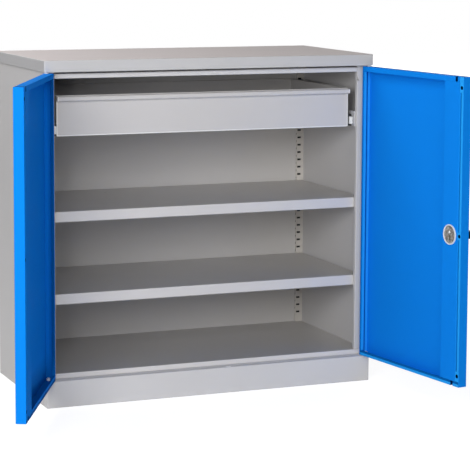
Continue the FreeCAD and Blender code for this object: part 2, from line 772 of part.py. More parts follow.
def make_door(name, side):
    x = flip(side, (door_free, door_hinge))
    y, z = (front_y, door_back), (door_foot, door_top)
    lip, tab = free_lip_edge, tab_edge
    hinge = door_hinge - d.hinge_lip
    foot, top = z[0] + d.end_lip, z[1] - d.end_lip
    foot_tab, top_tab = z[0] + d.tab_height, z[1] - d.tab_height
    mouth = [(tab, foot), (hinge, foot), (hinge, top), (tab, top), (tab, top_tab), (lip, top_tab),
             (lip, lock_z + half_tab), (tab, lock_z + half_tab), (tab, lock_z - half_tab),
             (lip, lock_z - half_tab), (lip, foot_tab), (tab, foot_tab)]
    mouth = flip_points(side, mouth)
    body = pressing(f"{name}_door_panel", x, y, z, d.wall, "XZ", mouth, d.bend, front_folds)
    fold = rectangle(flip(side, (hinge, hinge + d.wall)), (door_back - d.hinge_return, door_back))
    prism(body, "XY", [fold], foot, top)
    hole_x = door_free + d.tab_hole_inset
    spots = [(hole_x, z[0] + d.tab_hole_drop), (hole_x, lock_z), (hole_x, z[1] - d.tab_hole_drop)]
    holes = [(spot, d.tab_hole / 2) for spot in flip_points(side, spots)]
    prism(body, "XZ", holes, door_back - d.wall * 2, door_back, cut=True)
    ends = [((pin_x if side > 0 else -pin_x, pin_y), d.bush_dia / 2)]
    if side > 0:
        ends.append(((rod_x, rod_y), d.rod_hole / 2))
        prism(body, "XZ", [((lock_x, lock_z), d.spindle_hole / 2)], front_y, front_y + d.wall * 2, cut=True)
    notch_x = door_free + d.notch_inset
    notch = rectangle(flip(side, (notch_x - d.notch_width / 2, notch_x + d.notch_width / 2)),
                      (door_back - d.notch_depth, door_back))
    for low, high in ((z[0], z[0] + d.notch_drop), (z[1] - d.notch_drop, z[1])):
        prism(body, "XY", [notch], low, high, cut=True)
    prism(body, "XY", ends, z[0], z[0] + d.wall * 2, cut=True)
    prism(body, "XY", ends, z[1] - d.wall * 2, z[1], cut=True)
    keep(swing(body, side))


def make_lock_channel(name, side):
    """Closed channel behind the free edge. Notches let the tabs of the door lie flush in its crown."""
    body = new_body(f"{name}_lock_channel")
    crown = door_back - d.wall
    skin = door_skin + d.wall
    toe = channel_hinge + d.channel_foot
    leg, short = channel_hinge - d.wall, channel_free + d.wall
    tip = door_back - d.channel_return
    section = [(channel_free, door_back), (channel_hinge, door_back), (channel_hinge, skin), (toe, skin),
               (toe, door_skin), (leg, door_skin), (leg, crown), (short, crown), (short, tip),
               (channel_free, tip)]
    foot, top = door_foot + d.end_lip, door_top - d.end_lip
    prism(body, "XY", [flip_points(side, section)], foot, top)
    outer = [(place if side > 0 else -place, door_back) for place in (channel_free, channel_hinge)]
    round_edges(body, d.bend, [(2, outer)])
    across = flip(side, (free_lip_edge, tab_edge + d.seat_gap))
    reach = half_tab + d.seat_gap
    spans = ((foot, door_foot + d.tab_height + d.seat_gap), (lock_z - reach, lock_z + reach),
             (door_top - d.tab_height - d.seat_gap, top))
    notches = [rectangle(across, span) for span in spans]
    prism(body, "XZ", notches, crown - d.seat_gap, door_back, cut=True)
    if side > 0:
        opening = ((lock_x, lock_z), d.channel_hole / 2)
        prism(body, "XZ", [opening], crown - d.wall, door_back, cut=True)
    keep(swing(body, side))


def make_hinge_pins():
    pins = []
    for name, side in SIDES:
        spot = (pin_x * side, pin_y)
        head = cap_foot + d.wall
        top = [upright_cylinder(f"{name}_top_shank", spot, door_top - d.pin_reach, head, d.pin_dia),
               upright_cylinder(f"{name}_top_head", spot, head, head + d.pin_head, d.pin_head_dia)]
        foot = d.plinth_height - d.wall
        low = [upright_cylinder(f"{name}_foot_shank", spot, foot, door_foot + d.pin_reach, d.pin_dia),
               upright_cylinder(f"{name}_foot_head", spot, foot - d.pin_head, foot, d.pin_head_dia)]
        pins += [join(f"{name}_top_pin", top), join(f"{name}_foot_pin", low)]
    keep(join("hinge_pins", pins, "Part::Compound"))


def make_bushes(name, side):
    spot = (pin_x * side, pin_y)
    bushes = []
    for end, face, into in (("top", door_top, -1), ("foot", door_foot, 1)):
        rim = face - d.bush_rim * into
        deep = face + d.bush_length * into
        low, high = (face, deep) if into > 0 else (deep, face)
        sleeve = upright_cylinder(f"{name}_{end}_sleeve", spot, low, high, d.bush_dia)
        low, high = (rim, face) if into > 0 else (face, rim)
        collar = upright_cylinder(f"{name}_{end}_collar", spot, low, high, d.bush_rim_dia)
        low, high = (rim, deep) if into > 0 else (deep, rim)
        bore = upright_cylinder(f"{name}_{end}_bore", spot, low, high, d.bush_bore)
        bushes.append(subtract(f"{name}_{end}_bush", join(f"{name}_{end}_turned", [sleeve, collar]), bore))
    keep(swing(join(f"{name}_hinge_bushes", bushes, "Part::Compound"), side))


# The cam stands with the upper crank pin low at rest, and a quarter turn raises it as far again.
quarter_share = math.sqrt(0.5)
crank_rise = d.crank * quarter_share
cam_y = door_skin + d.fit
yoke_y = rod_y - d.yoke_thick / 2
handle_foot = front_y - d.rosette_thick - d.fit
grip_foot = handle_foot - d.hub_length
grip_face = grip_foot - d.handle_thick


def make_rosette():
    body = new_body("lock_rosette")
    axis = (lock_x, lock_z)
    prism(body, "XZ", [(axis, d.rosette_dia / 2)], front_y - d.rosette_thick, front_y)
    prism(body, "XZ", [(axis, d.spindle_hole / 2)], front_y - d.rosette_thick, front_y, cut=True)
    rim = circle_edges(body.Tip.Shape, d.rosette_dia / 2, 1, front_y - d.rosette_thick)
    round_named(body, d.rosette_thick / 2, rim)
    keep(swing(body, 1))


def circle_edges(shape, radius, axis, level):
    return [f"Edge{number}" for number, edge in enumerate(shape.Edges, start=1)
            if edge.Curve.TypeId == "Part::GeomCircle" and abs(edge.Curve.Radius - radius.value) < TOUCH
            and abs(edge.Curve.Center[axis] - level.value) < TOUCH]


def make_handle():
    body = new_body("turning_handle")
    axis = (lock_x, lock_z)
    prism(body, "XZ", [(axis, d.hub_dia / 2)], grip_foot, handle_foot)
    across = (lock_x - d.handle_length / 2, lock_x + d.handle_length / 2)
    tall = (lock_z - d.handle_width / 2, lock_z + d.handle_width / 2)
    prism(body, "XZ", [rectangle(across, tall)], grip_face, grip_foot)
    round_edges(body, d.handle_round, [(1, corners(across, tall))])
    round_named(body, d.handle_round / 2, rim_edges(body.Tip.Shape, 1, grip_face))
    bore = d.plug_dia / 2 + d.fit
    prism(body, "XZ", [(axis, bore)], grip_face, grip_face + d.plug_length - d.plug_proud + d.fit, cut=True)
    keep(swing(body, 1))


def make_plug():
    body = new_body("key_plug")
    face = grip_face - d.plug_proud
    prism(body, "XZ", [((lock_x, lock_z), d.plug_dia / 2)], face, face + d.plug_length)
    slot = rectangle((lock_x - d.key_slot_wide / 2, lock_x + d.key_slot_wide / 2),
                     (lock_z - d.key_slot / 2, lock_z + d.key_slot / 2))
    prism(body, "XZ", [slot], face, face + d.key_slot_deep, cut=True)
    keep(swing(body, 1))


def make_cam():
    """Spindle, disc and two crank pins, one to each rod."""
    body = new_body("lock_cam")
    axis = (lock_x, lock_z)
    prism(body, "XZ", [(axis, d.spindle_dia / 2)], handle_foot, cam_y)
    prism(body, "XZ", [(axis, d.cam_dia / 2)], cam_y, cam_y + d.cam_thick)
    pins = [((lock_x - crank_rise, lock_z - crank_rise), d.crank_pin / 2),
            ((lock_x + crank_rise, lock_z + crank_rise), d.crank_pin / 2)]
    prism(body, "XZ", pins, cam_y + d.cam_thick, yoke_y + d.yoke_thick * 2)
    keep(swing(body, 1))


yoke_half = d.crank_pin / 2 + d.yoke_play
across_near = crank_rise - yoke_half
across_far = d.crank + yoke_half


def yoke_slot(outward):
    """The slot in which a crank pin slides as it turns. Outward is -1 towards the free edge."""
    near, far = lock_x + across_near * outward, lock_x + across_far * outward
    level = lock_z + crank_rise * outward
    across = (near, far) if outward > 0 else (far, near)
    return across, (level - yoke_half, level + yoke_half)


def make_rod(label, outward):
    """A yoke plate round its crank pin, a cross arm and the round rod.
    The yoke towards the free edge carries the upper rod, the other one the lower rod."""
    body = new_body(label)
    across, tall = yoke_slot(outward)
    up = -outward
    near, far = lock_x + (across_near - d.yoke_wall) * outward, lock_x + (across_far + d.yoke_wall) * outward
    end = rod_x + d.rod_dia / 2 * up
    back = lock_z - (crank_rise + yoke_half + d.yoke_wall) * up
    neck, arm = lock_z + d.yoke_neck * up, lock_z + (d.yoke_neck + d.yoke_arm) * up
    plate = [(far, back), (near, back), (near, neck), (end, neck), (end, arm), (far, arm)]
    prism(body, "XZ", [plate], yoke_y, yoke_y + d.yoke_thick)
    prism(body, "XZ", [rectangle(across, tall)], yoke_y, yoke_y + d.yoke_thick, cut=True)
    low, high = (arm, door_top - d.rod_drop) if up > 0 else (door_foot + d.rod_drop, arm)
    prism(body, "XY", [((rod_x, rod_y), d.rod_dia / 2)], low, high)
    keep(swing(body, 1))


def make_guides():
    guides = []
    for end, level in (("top", door_top - d.guide_drop), ("foot", door_foot + d.guide_drop)):
        block = box(f"{end}_guide_block", (rod_x - d.guide_width / 2, rod_x + d.guide_width / 2),
                    (door_skin, rod_y + d.rod_dia / 2 + d.guide_cap),
                    (level - d.guide_height / 2, level + d.guide_height / 2))
        bore = upright_cylinder(f"{end}_guide_bore", (rod_x, rod_y), level - d.guide_height,
                                level + d.guide_height, d.guide_bore)
        guides.append(subtract(f"{end}_guide", block, bore))
    keep(swing(join("rod_guides", guides, "Part::Compound"), 1))


def make_cover():
    body = new_body("lock_cover")
    axis = (lock_x, lock_z)
    outer, inner = d.cover_dia / 2, d.cover_dia / 2 - d.cover_rim
    prism(body, "XZ", [(axis, outer)], door_back, door_back + d.cover_plate)
    prism(body, "XZ", [(axis, outer), (axis, inner)], door_back, door_back + d.cover_rim_high)
    boss = (lock_x, lock_z + d.cover_boss_rise)
    prism(body, "XZ", [(boss, d.cover_boss / 2)], door_back, door_back + d.cover_rim_high)
    under = boss[1] - d.cover_boss / 2
    half = d.cover_slot_wide / 2
    slot = rectangle((lock_x - half, lock_x + half), (under - d.cover_slot, under))
    prism(body, "XZ", [slot], door_back, door_back + d.cover_plate, cut=True)
    top = door_back + d.cover_rim_high
    round_named(body, d.cover_rim / 3, circle_edges(body.Tip.Shape, outer, 1, top))
    keep(swing(body, 1))


make_cap()
make_header()
make_floor()
make_plinth()
make_back()
make_drawer()
make_shelf("upper_shelf", d.upper_shelf_slot)
make_shelf("lower_shelf", d.lower_shelf_slot)
make_clips("upper_shelf_clips", d.upper_shelf_slot)
make_clips("lower_shelf_clips", d.lower_shelf_slot)
for name, side in SIDES:
    make_side(name, side)
    make_post(name, side)
    make_rack(name, side, rear=False)
    make_rack(name, side, rear=True)
    make_bracket(name, side)
    make_slides(name, side)
    make_balls(name, side)
    make_door(name, side)
    make_lock_channel(name, side)
    make_bushes(name, side)
make_hinge_pins()
make_rosette()
make_handle()
make_plug()
make_cam()
make_rod("upper_rod", -1)
make_rod("lower_rod", 1)
make_guides()
make_cover()

doc.recompute()
for item in doc.Objects:
    if "Invalid" in item.State or "Error" in item.State:
        raise RuntimeError(f"{item.Label} failed: {item.State}")
for label, item in nodes.items():
    if item.Shape.isNull() or not item.Shape.isValid():
        raise RuntimeError(f"{label} has no valid shape")
for label, item in nodes.items():
    item.Shape.exportStep(f"parts/{label}.step")
    print(label, len(item.Shape.Solids), "solids", round(item.Shape.Volume / 1000, 1), "cm3")
print(len(nodes), "sub-parts")
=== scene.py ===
import json
import math
import bmesh
import bpy
from mathutils import Matrix, Vector


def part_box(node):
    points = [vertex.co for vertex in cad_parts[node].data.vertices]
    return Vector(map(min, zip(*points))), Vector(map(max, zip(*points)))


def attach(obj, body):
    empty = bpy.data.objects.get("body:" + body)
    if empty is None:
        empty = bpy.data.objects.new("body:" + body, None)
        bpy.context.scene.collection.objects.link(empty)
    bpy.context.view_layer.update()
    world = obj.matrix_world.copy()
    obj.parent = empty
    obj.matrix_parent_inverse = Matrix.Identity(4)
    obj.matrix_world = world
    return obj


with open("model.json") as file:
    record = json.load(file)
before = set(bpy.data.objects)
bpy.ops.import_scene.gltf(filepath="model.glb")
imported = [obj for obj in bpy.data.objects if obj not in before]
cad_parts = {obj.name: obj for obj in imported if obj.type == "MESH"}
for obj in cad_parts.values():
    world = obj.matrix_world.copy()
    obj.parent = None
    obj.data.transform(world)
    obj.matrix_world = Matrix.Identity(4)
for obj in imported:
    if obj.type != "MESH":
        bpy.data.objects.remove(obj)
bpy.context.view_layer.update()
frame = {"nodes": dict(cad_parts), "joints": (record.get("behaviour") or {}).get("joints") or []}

nodes = frame["nodes"]
scene = bpy.context.scene
print("frame loaded:", len(nodes), "parts")


# Shader maths: a socket that can be added and multiplied like a number

class Wire:
    def __init__(self, recipe, node, output):
        self.recipe = recipe
        self.node = node
        self.socket = node.outputs[output] if len(node.outputs) else None

    def maths(self, operation, *values):
        return self.recipe.add("ShaderNodeMath", {"operation": operation}, dict(enumerate(values)))

    def __add__(self, other):
        return self.maths("ADD", self, other)

    def __radd__(self, other):
        return self.maths("ADD", other, self)

    def __mul__(self, other):
        return self.maths("MULTIPLY", self, other)

    def __rmul__(self, other):
        return self.maths("MULTIPLY", other, self)

    def __abs__(self):
        return self.maths("ABSOLUTE", self)


# How squarely the rounded facing meets the flat one, on a face and on an edge
edgeTurn = {"face": 0.98, "edge": 0.72, "samples": 4}


class Recipe:
    def __init__(self, tree):
        self.tree = tree
        tree.nodes.clear()

    def add(self, kind, settings=None, inputs=None, output=0):
        node = self.tree.nodes.new(kind)
        for key, value in (settings or {}).items():
            if key == "stops":
                self.setStops(node.color_ramp, value)
            else:
                setattr(node, key, value)
        for key, value in (inputs or {}).items():
            self.plug(node.inputs[key], value)
        return Wire(self, node, output)

    def setStops(self, ramp, stops):
        for element, (place, level) in zip(ramp.elements, stops):
            element.position = place
            element.color = (level, level, level, 1.0)

    def plug(self, socket, value):
        if isinstance(value, Wire):
            self.tree.links.new(value.socket, socket)
        else:
            socket.default_value = value

    def place(self, shut=None):
        # Shut is the move that brings an open door back to its frame, so that its marks can be given squarely
        where = self.add("ShaderNodeTexCoord", output="Object")
        if shut:
            where = self.add("ShaderNodeMapping", inputs={
                "Vector": where, "Rotation": shut.to_euler(), "Location": shut.to_translation()})
        return where

    def stretched(self, where, scale):
        return self.add("ShaderNodeMapping", inputs={"Vector": where, "Scale": scale})

    def along(self, where, axis):
        return self.add("ShaderNodeSeparateXYZ", inputs={0: where}, output="XYZ".index(axis))

    def ramp(self, value, low, high):
        return self.add("ShaderNodeMapRange", inputs={"Value": value, "From Min": low, "From Max": high})

    def noise(self, where, scale, detail=2.0, roughness=0.5):
        return self.add("ShaderNodeTexNoise", inputs={
            "Vector": where, "Scale": scale, "Detail": detail, "Roughness": roughness})

    def grains(self, where, scale):
        return self.add("ShaderNodeTexVoronoi", {"feature": "F1"}, {"Vector": where, "Scale": scale}, "Distance")

    def contrast(self, value, low, high):
        return self.add("ShaderNodeValToRGB", {"stops": ((low, 0.0), (high, 1.0))}, {"Fac": value})

    def mixed(self, factor, first, second):
        return self.add("ShaderNodeMix", {"data_type": "RGBA"}, {0: factor, 6: first, 7: second}, 2)

    def bump(self, height, distance, strength=1.0, under=None):
        inputs = {"Height": height, "Distance": distance, "Strength": strength}
        if under:
            inputs["Normal"] = under
        return self.add("ShaderNodeBump", inputs=inputs)

    def rounded(self, radius):
        return self.add("ShaderNodeBevel", {"samples": edgeTurn["samples"]}, {"Radius": radius})

    def edges(self, rounding):
        # 0 on a flat face, towards 1 on its edges
        flat = self.add("ShaderNodeNewGeometry", output="Normal")
        square = self.add("ShaderNodeVectorMath", {"operation": "DOT_PRODUCT"}, {0: rounding, 1: flat}, "Value")
        return self.ramp(square, edgeTurn["face"], edgeTurn["edge"])

    def inside(self, where, bounds, soft=0.0001):
        # 1 in the box that the bounds give for some of the axes, 0 outside. X counts from the middle both ways
        found = None
        for axis, (low, high) in bounds.items():
            value = self.along(where, axis)
            if axis == "X":
                value = abs(value)
            for limit, way in ((low, 1), (high, -1)):
                if limit is not None:
                    step = self.ramp(value, limit - soft * way, limit + soft * way)
                    found = found * step if found else step
        return found


class Paint(Recipe):
    def __init__(self, name):
        self.material = bpy.data.materials.new(name)
        self.material.use_nodes = True
        super().__init__(self.material.node_tree)
        self.shading = self.add("ShaderNodeBsdfPrincipled")
        self.result = self.add("ShaderNodeOutputMaterial", inputs={"Surface": self.shading})

    def put(self, name, value):
        self.plug(self.shading.node.inputs[name], value)


def fromScreen(red, green, blue):
    # A screen colour from 0 to 255, taken back through the screen's curve
    def linear(part):
        part = part / 255
        return part / 12.92 if part <= 0.04045 else ((part + 0.055) / 1.055) ** 2.4
    return (linear(red), linear(green), linear(blue), 1.0)


def shaded(colour, factor):
    return tuple(part * factor for part in colour[:3]) + (1.0,)


# How the doors stand open: the move that takes a shut door to where it is at rest

def jointNamed(name):
    return next(joint for joint in frame["joints"] if joint["name"] == name)


def swungOpen(jointName):
    # A door is shut at the lowest angle of its hinge, which counts from rest
    joint = jointNamed(jointName)
    pin = Matrix.Translation(Vector(joint["pos_m"]))
    turn = Matrix.Rotation(-math.radians(joint["range_deg"][0]), 4, Vector(joint["axis"]))
    return pin @ turn @ pin.inverted()


openRight = swungOpen("right_door_hinge")
openLeft = swungOpen("left_door_hinge")


# Finishes. A tone is a factor on the finish's colour, a height is in metres

powderCoat = {
    "cloud": {"scale": 6.0, "detail": 4.0, "roughness": 0.6}, "cloudDepth": 0.025, "cloudRoughness": 0.12,
    "speck": {"scale": 900.0, "detail": 1.0}, "speckShare": 0.25, "speckTone": 0.93,
    "wearAndHighlight": {"scale": 60.0, "detail": 3.0}, "wearAndHighlightLow": 0.3, "wearAndHighlightHigh": 0.62, "wearAndHighlightTone": 1.18,
    "wave": {"scale": 3.5, "detail": 1.0}, "waveHeight": 0.0008, "waveStrength": 0.5,
    "peel": {"scale": 380.0}, "peelHeight": 0.00005, "peelStrength": 0.6,
    "edgeRadius": 0.0018, "paintedShadeTone": 0.05}


def coatedSteel(name, colour, roughness=0.42, shine=0.35, shadedHollows=(), shut=None, paintedTints=()):
    # A tint is painted light or shade. It gives its bounds and its colour, and then perhaps an axis with the two ends
    # between which it comes in
    coat = powderCoat
    paint = Paint(name)
    where = paint.place(shut)
    cloud = paint.noise(where, **coat["cloud"])
    speck = paint.noise(where, **coat["speck"])
    tone = paint.mixed(cloud, shaded(colour, 1 - coat["cloudDepth"]), shaded(colour, 1 + coat["cloudDepth"]))
    tone = paint.mixed(speck * coat["speckShare"], tone, shaded(colour, coat["speckTone"]))
    rounding = paint.rounded(coat["edgeRadius"])
    # Lighter edges: the coat is worn thin there, and a painted highlight runs along the bends
    wornAndHighlit = paint.edges(rounding) * paint.ramp(paint.noise(where, **coat["wearAndHighlight"]), coat["wearAndHighlightLow"], coat["wearAndHighlightHigh"])
    for bounds, paintedTint, *fade in paintedTints:
        share = paint.inside(where, bounds)
        for axis, start, end in fade:
            share = share * paint.ramp(paint.along(where, axis), start, end)
        tone = paint.mixed(share, tone, paintedTint)
    tone = paint.mixed(wornAndHighlit, tone, shaded(colour, coat["wearAndHighlightTone"]))
    # Painted shade: each hollow takes a near-black copy of the coat
    for shadedHollow in shadedHollows:   # hardly any light comes back out of a hollow
        tone = paint.mixed(paint.inside(where, shadedHollow), tone, shaded(colour, coat["paintedShadeTone"]))
    paint.put("Base Color", tone)
    paint.put("Roughness", roughness + cloud * coat["cloudRoughness"])
    paint.put("Specular IOR Level", shine)
    wave = paint.bump(paint.noise(where, **coat["wave"]), coat["waveHeight"], coat["waveStrength"], rounding)
    peel = paint.bump(paint.noise(where, **coat["peel"]), coat["peelHeight"], coat["peelStrength"], wave)
    paint.put("Normal", peel)
    return paint.material


zincLook = {
    "brush": {"scale": 900.0, "detail": 3.0, "roughness": 0.7}, "brushStretch": (1.0, 0.04, 1.0),
    "brushRoughness": 0.12, "brushHeight": 0.00003, "brushStrength": 0.5,
    "flakeTone": 0.86, "flakeRoughness": 0.14, "edgeRadius": 0.0006, "edgeShare": 0.6, "edgeTone": 1.12}


def zincSteel(name, colour, flake=160.0, metal=1.0, roughness=0.3):
    look = zincLook
    paint = Paint(name)
    where = paint.place()
    spangle = paint.grains(where, flake)
    brushed = paint.noise(paint.stretched(where, look["brushStretch"]), **look["brush"])
    rounding = paint.rounded(look["edgeRadius"])
    tone = paint.mixed(spangle, shaded(colour, look["flakeTone"]), colour)
    paint.put("Base Color", paint.mixed(
        paint.edges(rounding) * look["edgeShare"], tone, shaded(colour, look["edgeTone"])))
    paint.put("Metallic", metal)
    paint.put("Roughness", roughness + spangle * look["flakeRoughness"] + brushed * look["brushRoughness"])
    paint.put("Normal", paint.bump(brushed, look["brushHeight"], look["brushStrength"], rounding))
    return paint.material


darkLook = {
    "grain": {"scale": 650.0, "detail": 3.0, "roughness": 0.6}, "grainHeight": 0.00004, "grainStrength": 0.5,
    "rub": {"scale": 70.0, "detail": 4.0, "roughness": 0.7}, "rubStretch": (1.0, 0.12, 1.0),
    "rubLow": 0.55, "rubHigh": 0.8, "roughness": 0.36, "grainRoughness": 0.2,
    "coat": (0.010, 0.010, 0.011, 1.0), "rubbed": (0.035, 0.035, 0.036, 1.0),
    "edge": (0.09, 0.09, 0.095, 1.0), "edgeRadius": 0.0006, "edgeShare": 0.5}


def darkCoat(name):
    look = darkLook
    paint = Paint(name)
    where = paint.place()
    grain = paint.noise(where, **look["grain"])
    rubbed = paint.noise(paint.stretched(where, look["rubStretch"]), **look["rub"])
    rounding = paint.rounded(look["edgeRadius"])
    tone = paint.mixed(paint.contrast(rubbed, look["rubLow"], look["rubHigh"]), look["coat"], look["rubbed"])
    paint.put("Base Color", paint.mixed(paint.edges(rounding) * look["edgeShare"], tone, look["edge"]))
    paint.put("Roughness", look["roughness"] + grain * look["grainRoughness"])
    paint.put("Normal", paint.bump(grain, look["grainHeight"], look["grainStrength"], rounding))
    return paint.material


plasticLook = {
    "cloud": {"scale": 40.0, "detail": 3.0, "roughness": 0.6}, "cloudDark": 0.93, "cloudLight": 1.05,
    "grainRoughness": 0.18, "grainStrength": 0.6, "edgeRadius": 0.0005, "edgeTone": 1.25}


def mouldedPlastic(name, colour, grainScale=900.0, grainHeight=0.00008, roughness=0.42):
    look = plasticLook
    paint = Paint(name)
    where = paint.place()
    grain = paint.grains(where, grainScale)
    cloud = paint.noise(where, **look["cloud"])
    rounding = paint.rounded(look["edgeRadius"])
    tone = paint.mixed(cloud, shaded(colour, look["cloudDark"]), shaded(colour, look["cloudLight"]))
    paint.put("Base Color", paint.mixed(paint.edges(rounding) * cloud, tone, shaded(colour, look["edgeTone"])))
    paint.put("Roughness", roughness + grain * look["grainRoughness"])
    paint.put("Normal", paint.bump(grain, grainHeight, look["grainStrength"], rounding))
    return paint.material


castLook = {
    "patch": {"scale": 130.0, "detail": 3.0, "roughness": 0.6}, "patchLow": 0.4, "patchHigh": 0.62,
    "stain": {"scale": 75.0, "detail": 2.0, "roughness": 0.5}, "stainLow": 0.5, "stainHigh": 0.66,
    "stainShare": 0.55, "grain": {"scale": 1500.0, "detail": 2.0}, "grainHeight": 0.00008, "grainStrength": 0.6,
    "roughness": 0.4, "grainRoughness": 0.2, "edgeRadius": 0.0008}


def castMetal(name, light, dark, brown):
    # Cast face with darker and browner patches
    look = castLook
    paint = Paint(name)
    where = paint.place()
    patches = paint.contrast(paint.noise(where, **look["patch"]), look["patchLow"], look["patchHigh"])
    stains = paint.contrast(paint.noise(where, **look["stain"]), look["stainLow"], look["stainHigh"])
    grain = paint.noise(where, **look["grain"])
    rounding = paint.rounded(look["edgeRadius"])
    tone = paint.mixed(stains * look["stainShare"], paint.mixed(patches, dark, light), brown)
    paint.put("Base Color", paint.mixed(paint.edges(rounding), tone, light))
    paint.put("Roughness", look["roughness"] + grain * look["grainRoughness"])
    paint.put("Normal", paint.bump(grain, look["grainHeight"], look["grainStrength"], rounding))
    return paint.material


polishLook = {
    "scratch": {"scale": 1400.0}, "scratchStretch": (0.05, 1.0, 1.0), "scratchTone": 0.92,
    "scratchHeight": 0.00001, "scratchStrength": 0.4, "roughness": 0.14, "scratchRoughness": 0.1,
    "edgeRadius": 0.0005, "edgeTone": 1.15}


def polishedSteel(name, colour):
    look = polishLook
    paint = Paint(name)
    scratch = paint.noise(paint.stretched(paint.place(), look["scratchStretch"]), **look["scratch"])
    rounding = paint.rounded(look["edgeRadius"])
    tone = paint.mixed(scratch, shaded(colour, look["scratchTone"]), colour)
    paint.put("Base Color", paint.mixed(paint.edges(rounding), tone, shaded(colour, look["edgeTone"])))
    paint.put("Metallic", 1.0)
    paint.put("Roughness", look["roughness"] + scratch * look["scratchRoughness"])
    paint.put("Normal", paint.bump(scratch, look["scratchHeight"], look["scratchStrength"], rounding))
    return paint.material


# Greys of the standing sheets, with painted light and shade on their coat. Bounds are in metres, and X counts from the
# middle both ways

# The plinth grey is a lighter copy of the carcase grey, as painted light
greys = {
    "cap": fromScreen(201, 200, 200), "paintedCapTopLight": fromScreen(207, 198, 197), "paintedCapSideShade": fromScreen(168, 167, 168),
    "carcase": fromScreen(203, 201, 200), "paintedSideShade": fromScreen(176, 174, 174), "back": fromScreen(203, 200, 197),
    "rack": fromScreen(206, 201, 194), "drawer": fromScreen(205, 202, 200), "paintedDrawerHighlight": fromScreen(238, 237, 235),
    "plinth": fromScreen(213, 211, 210), "shelf": fromScreen(188, 185, 182), "paintedShelfLipLight": fromScreen(211, 208, 206),
    "paintedFloorLipLight": fromScreen(220, 217, 215)}
# Painted light: the front lips of the shelves and of the floor panel take a lighter grey than their tops
lipDepth = 0.001
shelfFront, floorFront = (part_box(node)[0].y + lipDepth for node in ("upper_shelf", "floor_panel"))
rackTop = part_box("rear_right_rack")[1].z
# Painted shade: the insides of racks and posts, and the sheets behind the racks, seen through slots and holes, are
# coloured near black
rackWall = (0.4874, None)
frontRackShade = {"X": rackWall, "Y": (None, 0.0283)}
rearRackShade = {"X": rackWall, "Y": (0.484, None)}
postShade = {"X": (0.4779, None), "Y": (0.0155, None)}
backShade = {"X": (0.4885, None), "Y": (None, 0.491), "Z": (None, rackTop)}
sideInner = {"X": (None, 0.5118)}   # the inner face of the side sheet, seen only through rack holes and slits
sideShades = ({**sideInner, "Y": (0.484, 0.492), "Z": (None, rackTop)}, {**frontRackShade, **sideInner})
# Painted shade: the outer face of each side sheet turns darker towards the top
sideOuter = {"X": (0.5119, None)}
paintedSideShadeFade = ("Z", 0.2, 0.95)
# Painted light and shade: the cap's top takes a warmer grey and its sides a darker one, for how light falls on them
paintedCapTopLight = {"Z": (0.9995, None)}
paintedCapSideShade = {"X": (0.5145, None)}
# Painted highlight: a pale grey along both ends and the foot of the drawer front, where its bends catch the light
drawerFace = (None, 0.0476)
drawerEnd = {"X": (0.4579, None), "Y": drawerFace}
drawerFoot = {"Z": (None, 0.781), "Y": drawerFace}

capPaint = coatedSteel("cap light grey powder coat", greys["cap"], shine=0.03,
                       paintedTints=((paintedCapTopLight, greys["paintedCapTopLight"]), (paintedCapSideShade, greys["paintedCapSideShade"])))
carcasePaint = coatedSteel("carcase light grey powder coat", greys["carcase"])
# Painted light: plinth and header rail take the lighter grey
plinthLitPaint = coatedSteel("plinth and header grey powder coat with painted light", greys["plinth"])
sidePaint = coatedSteel("side light grey powder coat", greys["carcase"], shadedHollows=sideShades,
                        paintedTints=((sideOuter, greys["paintedSideShade"], paintedSideShadeFade),))
postPaint = coatedSteel("post light grey powder coat", greys["carcase"], shadedHollows=(postShade,))
backPaint = coatedSteel("back grey powder coat", greys["back"], shadedHollows=(backShade,))
shelfPaint = coatedSteel("shelf grey powder coat", greys["shelf"], roughness=0.24, shine=0.5,
                         paintedTints=(({"Y": (None, shelfFront)}, greys["paintedShelfLipLight"]),))
floorPanelPaint = coatedSteel("floor panel grey powder coat", greys["shelf"], roughness=0.24, shine=0.5,
                              paintedTints=(({"Y": (None, floorFront)}, greys["paintedFloorLipLight"]),))
frontRackPaint = coatedSteel("front rack grey powder coat", greys["rack"], shadedHollows=(frontRackShade,))
rearRackPaint = coatedSteel("rear rack grey powder coat", greys["rack"], shadedHollows=(rearRackShade,))
drawerPaint = coatedSteel("drawer grey powder coat", greys["drawer"], roughness=0.4,
                          paintedTints=((drawerEnd, greys["paintedDrawerHighlight"]), (drawerFoot, greys["paintedDrawerHighlight"])))


# Painted light and shade on the coat of the doors. Bounds are for the shut door

# The lighter blue is a painted highlight for the lips
doorBlue = {"colour": (0.005, 0.235, 0.83, 1.0), "fold": (0.02, 0.36, 0.93, 1.0), "roughness": 0.45, "shine": 0.003}
doorDepth = (-0.0142, 0.0131)   # from the inner face of the front sheet to the lips at the back
doorLips = (0.0131, None)
notchAcross = (0.0295, 0.041)
# Painted shade: near black inside the free-edge fold and behind the notches at the top and foot of each door
doorShades = ({"X": (0.0033, 0.0168), "Y": doorDepth},
               {"X": notchAcross, "Y": doorDepth, "Z": (0.9475, 0.9622)},
               {"X": notchAcross, "Y": doorDepth, "Z": (0.0803, 0.095)})
edgeHoles = {"levels": (0.1105, 0.5125, 0.932), "reach": 0.0075}
